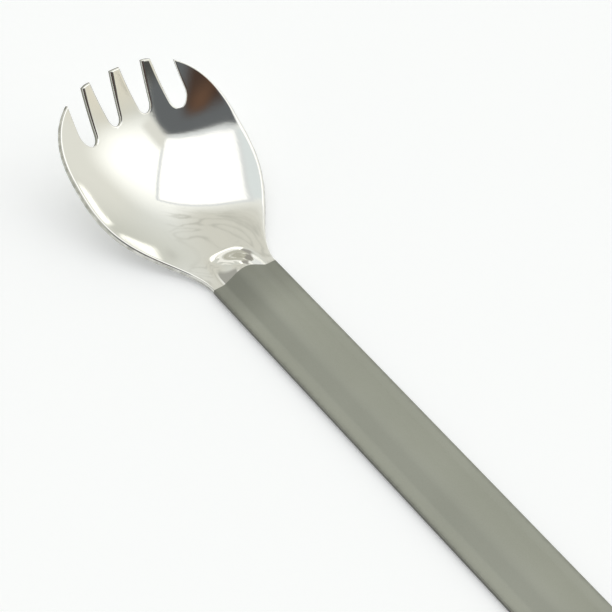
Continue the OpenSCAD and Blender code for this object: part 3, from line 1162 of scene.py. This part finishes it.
@dataclass(frozen=True)
class Panel:
    """A soft-edged panel far away, seen as a window on a plane across its axis.

    Azimuth runs from +Y towards +X and zenith down from +Z, in degrees. Half sizes,
    offsets and softness are slopes on the plane: 1 is 45 degrees off the axis.
    """

    azimuth: float
    zenith: float
    half_across: float
    half_up: float
    soft_across: float
    soft_up: float
    colour: Colour
    off_across: float = 0.0
    off_up: float = 0.0
    spin: float = 0.0

    def axes(self) -> tuple[Vector, Vector, Vector]:
        """Directions of the panel.

        Returns:
            The axis to the panel, the direction across it and the direction up it.
        """
        a, z = math.radians(self.azimuth), math.radians(self.zenith)
        axis = Vector((math.sin(a) * math.sin(z), math.cos(a) * math.sin(z), math.cos(z)))
        level = Vector((math.cos(a), -math.sin(a), 0))
        across = Matrix.Rotation(math.radians(self.spin), 3, axis) @ level
        return axis, across, across.cross(axis)

    def mask(self, board: Board, group: bpy.types.NodeTree, direction: Output) -> Output:
        """How much of a direction the panel fills.

        Args:
            board: the world's board.
            group: the soft_panel group.
            direction: the direction looked in.

        Returns:
            1 inside the panel and 0 outside it.
        """
        axis, across, up = self.axes()
        inputs = {
            "Direction": direction,
            "Axis": axis,
            "Across": across,
            "Up": up,
            "Half Across": self.half_across,
            "Half Up": self.half_up,
            "Soft Across": self.soft_across,
            "Soft Up": self.soft_up,
            "Off Across": self.off_across,
            "Off Up": self.off_up,
        }
        return board.add("ShaderNodeGroup", inputs, node_tree=group).outputs["Mask"]


def panel_group() -> bpy.types.NodeTree:
    """How far a direction lies inside a soft-edged rectangle on a plane across an axis.

    The direction is divided by its part along the axis, which gives its slopes on the
    plane, and each slope's distance inside the rectangle goes through a smooth step.

    Returns:
        The group.
    """
    ways = ("Across", "Up")
    vectors = {label: ORIGIN for label in ("Direction", "Axis", *ways)}
    sizes = {"Half": 0.5, "Soft": 0.1, "Off": 0.0}
    numbers = {f"{word} {way}": size for word, size in sizes.items() for way in ways}
    group = Group("soft_panel", vectors | numbers, ("Mask",))
    given = group.given
    ahead = group.vector("DOT_PRODUCT", given["Direction"], given["Axis"]).outputs["Value"]
    safe = group.maths("MAXIMUM", ahead, GRAZING)
    masks = []
    for way in ways:
        side = group.vector("DOT_PRODUCT", given["Direction"], given[way]).outputs["Value"]
        slope = group.maths("SUBTRACT", group.maths("DIVIDE", side, safe), given["Off " + way])
        slope = group.maths("ABSOLUTE", slope)
        inside = group.maths("SUBTRACT", given["Half " + way], slope)
        inside = group.maths("DIVIDE", inside, given["Soft " + way])
        masks.append(group.remap(inside, -1, 1, 0, 1))
    front = group.maths("GREATER_THAN", ahead, GRAZING)
    group.give("Mask", group.maths("MULTIPLY", group.maths("MULTIPLY", *masks), front))
    return group.tree


# Panels are drawn on the plane overhead, or on the upright plane on the camera's side, and
# both planes are turned like the window.
WINDOW_TURN = 32.25
above = partial(Panel, WINDOW_TURN, 0)
facing = partial(Panel, WINDOW_TURN - 180, 90)
PANELS = {
    "warm wall": Panel(150, 90, 0.75, 0.60, 0.35, 0.30, (0.90, 0.86, 0.74), 0.0, -0.2),
    "side cloth": Panel(105, 68, 0.50, 0.32, 0.30, 0.25, (0.90, 0.90, 0.84)),
    "glow beside the window": above(1.15, 0.62, 0.75, 0.50, (1.44, 1.45, 1.41), 0.70, 0.12),
    "cloth beyond it": above(0.65, 0.62, 0.25, 0.15, (0.77, 0.765, 0.70), -0.50, -1.12),
    "dim side": above(0.95, 0.90, 0.10, 0.20, (0.44, 0.44, 0.41), -1.72, 0.10),
    "bright strip": above(0.08, 0.485, 0.02, 0.03, (1.25, 1.27, 1.27), -0.72, 0.063),
    "cool strip": above(0.085, 0.485, 0.03, 0.02, (0.86, 0.92, 0.94), -0.57, 0.063),
    "window's frame": above(0.525, 0.520, 0.02, 0.012, (0.82, 0.85, 0.87), 0.007, 0.067),
    "dark front": facing(1.00, 1.22, 0.12, 0.05, (0.150, 0.160, 0.170), 0.0, 0.48),
    "brown blur": facing(0.45, 1.00, 0.15, 0.20, (0.080, 0.052, 0.040), 0.12, 0.20),
    "warm blur": facing(0.18, 0.17, 0.16, 0.15, (0.150, 0.085, 0.055), -0.03, 1.04),
    "grey blur": facing(0.40, 0.50, 0.10, 0.12, (0.085, 0.087, 0.083), -0.90),
    "slanted cloth": above(0.36, 0.10, 0.12, 0.06, (0.88, 0.88, 0.83), 0.986, 0.095, -35),
    "window": above(0.486, 0.480, 0.02, 0.012, (1.35, 1.35, 1.35), 0.005, 0.057),
    "low light": Panel(56, 83, 0.40, 0.12, 0.10, 0.03, (1.15, 1.15, 1.11)),
    "low shade": Panel(38, 80, 0.15, 0.30, 0.05, 0.05, (0.42, 0.41, 0.38)),
    "nose light": Panel(25, 74.5, 0.070, 0.29, 0.012, 0.02, (1.5, 1.5, 1.42), spin=9),
    "upper rim light": Panel(76.3, 75.3, 0.125, 0.030, 0.03, 0.008, (1.6, 1.6, 1.5), spin=10),
    "lower rim light": Panel(56.5, 71.7, 0.11, 0.036, 0.03, 0.010, (1.5, 1.5, 1.4), spin=30),
}
FOLDS = above(0.60, 0.42, 0.20, 0.12, (0.56, 0.56, 0.51), -0.25, -0.98)


@dataclass
class Studio:
    """Plain pale table, soft tent light and the camera at the photograph's angle.

    The camera's place is in the level blank: its height angle, side angle, roll, distance
    and the point it looks at.

    Attributes:
        tent_rise: heights of the direction between which the tent goes from low to high.
        table_lift: what the camera and the metal see of the table beyond its own light.
        panels: the light's panels, each laid over those before it.
        folds: where the tent's cloth shows its folds, laid over the panels.
        fold_size: size of the waves along and across the folds, by the cloth's own axes.
        fold_line: half width of a fold's line, as a span of the noise.
        fold_share: how much of the fold's colour shows in the middle of a line.
    """

    lay: Lay
    tent_low: Colour = (0.70, 0.71, 0.65)
    tent_high: Colour = (0.97, 0.99, 0.97)
    tent_rise: tuple[float, float] = (0.2, 1.0)
    backdrop: Colour = (0.935, 0.95, 0.945)
    table: Colour = (0.90, 0.91, 0.915)
    table_lift: Colour = (0.190, 0.193, 0.200)
    table_half: float = 1.5
    photo_px: float = 612.0
    focal_px: float = 1999.8
    sensor: float = 36.0
    height_angle: float = 0.8223
    side_angle: float = -0.6324
    roll: float = 0.0176
    distance: float = 391.2
    look_x: float = 5.023
    look_y: float = -13.785
    clip: tuple[float, float] = (0.01, 20)
    panels: dict[str, Panel] = field(default_factory=PANELS.copy)
    folds: Panel = FOLDS
    fold_size: Triple = (0.38, 0.13, 0.38)
    fold_bend: float = 1.2
    fold_line: float = 0.045
    fold_share: float = 0.75

    def fold_lines(self, board: Board, direction: Output) -> Output:
        """Thin wavy lines of the cloth's folds: where a stretched noise is at its middle.

        Args:
            board: the world's board.
            direction: the direction looked in.

        Returns:
            fold_share in the middle of a line and 0 beside it.
        """
        turn = (0, 0, -math.radians(self.folds.azimuth))
        inputs = {"Vector": direction, "Rotation": turn, "Scale": self.fold_size}
        place = board.add("ShaderNodeMapping", inputs, vector_type="TEXTURE").outputs[0]
        noise = board.noise(place, 1.0, Detail=1.0, Distortion=self.fold_bend)
        far = board.maths("ABSOLUTE", board.maths("SUBTRACT", noise, NOISE_MIDDLE))
        return board.remap(far, 0, self.fold_line, self.fold_share, 0)

    def world(self) -> None:
        """Tent light with its panels; the camera itself sees the plain backdrop."""
        world = bpy.data.worlds.new("studio_tent")
        bpy.context.scene.world = world
        world.use_nodes = True
        board = Board(world.node_tree)
        group = panel_group()
        direction = board.add("ShaderNodeTexCoord").outputs["Generated"]
        height = board.add("ShaderNodeSeparateXYZ", {"Vector": direction}).outputs["Z"]
        rise = board.remap(height, *self.tent_rise, 0, 1)
        colour = board.blend(rise, rgba(self.tent_low), rgba(self.tent_high))
        for panel in self.panels.values():
            colour = board.blend(panel.mask(board, group, direction), colour, rgba(panel.colour))
        lines = self.fold_lines(board, direction)
        lines = board.maths("MULTIPLY", self.folds.mask(board, group, direction), lines)
        colour = board.blend(lines, colour, rgba(self.folds.colour))
        seen = board.add("ShaderNodeLightPath").outputs["Is Camera Ray"]
        colour = board.blend(seen, colour, rgba(self.backdrop))
        light = board.add("ShaderNodeBackground", {"Color": colour, "Strength": 1.0})
        board.add("ShaderNodeOutputWorld", {"Surface": light.outputs[0]})

    def floor(self) -> None:
        """Wide pale table top under the spork.

        The camera and the metal see it a little brighter than it lights the spork.
        """
        half = self.table_half
        corners = [(-half, -half, 0), (half, -half, 0), (half, half, 0), (-half, half, 0)]
        mesh = bpy.data.meshes.new("table_top")
        mesh.from_pydata(corners, [], [(0, 1, 2, 3)])
        table = bpy.data.objects.new("table_top", mesh)
        bpy.context.scene.collection.objects.link(table)
        material = bpy.data.materials.new("table_white")
        material.use_nodes = True
        board = Board(material.node_tree)
        path = board.add("ShaderNodeLightPath").outputs
        seen = board.maths("MAXIMUM", path["Is Camera Ray"], path["Is Glossy Ray"])
        inputs = {
            "Base Color": rgba(self.table),
            "Roughness": 1.0,
            "Specular IOR Level": 0.0,
            "Emission Color": rgba(self.table_lift),
            "Emission Strength": seen,
        }
        shader = board.add("ShaderNodeBsdfPrincipled", inputs)
        board.add("ShaderNodeOutputMaterial", {"Surface": shader.outputs[0]})
        mesh.materials.append(material)

    def camera(self) -> None:
        """Camera of the photograph: its axes from three angles, then laid like the blank."""
        e, a, r = self.height_angle, self.side_angle, self.roll
        back = np.array([math.sin(a) * math.cos(e), -math.cos(a) * math.cos(e), math.sin(e)])
        right = np.array([math.cos(a), math.sin(a), 0.0])
        level = np.stack([right, np.cross(back, right), back])
        c, s = math.cos(r), math.sin(r)
        axes = np.array([[c, s, 0], [-s, c, 0], [0, 0, 1]]) @ level
        spot = np.array([self.look_x, self.look_y, 0]) + axes.T @ [0, 0, self.distance]
        matrix = np.eye(4)
        matrix[:3, :3] = self.lay.turn @ axes.T
        matrix[:3, 3] = self.lay.place(spot[None])[0]
        data = bpy.data.cameras.new("photo_view")
        data.sensor_width = self.sensor
        data.lens = self.focal_px / self.photo_px * self.sensor
        data.clip_start, data.clip_end = self.clip
        camera = bpy.data.objects.new("photo_view", data)
        camera.matrix_world = Matrix(matrix.tolist())
        bpy.context.scene.collection.objects.link(camera)
        bpy.context.scene.camera = camera

    def build(self) -> None:
        """World, table and camera, and the plain view transform."""
        self.world()
        self.floor()
        self.camera()
        bpy.context.scene.view_settings.view_transform = "Standard"


def dress(piece: bpy.types.Object, node: str, finish: Finish, material: bpy.types.Material) -> None:
    """Puts a finished piece in the place of its CAD node.

    Args:
        piece: the new object.
        node: the CAD node that it stands for.
        finish: its finish.
        material: the finish's material.
    """
    piece.data.materials.append(material)
    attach(piece, BODY)
    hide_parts(node)
    points, faces = len(piece.data.vertices), len(piece.data.polygons)
    LOG.info("%s: %d points, %d faces, %s", piece.name, points, faces, finish.name)


def main() -> None:
    """Builds the spork's two stretches, their finishes and the studio."""
    logging.basicConfig(level=logging.INFO, format="%(name)s: %(message)s")
    blank = Blank()
    sheet = RoundedSheet(blank)
    grain, wear_and_shade = grain_group(), wear_and_shade_group()
    bowl, lay = Bowl(blank, sheet).build()
    dress(bowl, "bowl", POLISH, POLISH.build(grain, wear_and_shade))
    handle = Handle(blank, sheet).build(lay)
    dress(handle, "handle", BLAST, BLAST.build(grain, wear_and_shade))
    Studio(lay).build()
    pitch = math.degrees(lay.pitch)
    LOG.info("pitch %.5f deg, middle %.4f, lift %.5f", pitch, lay.middle_y, lay.lift_z)


if __name__ == "__main__":
    main()
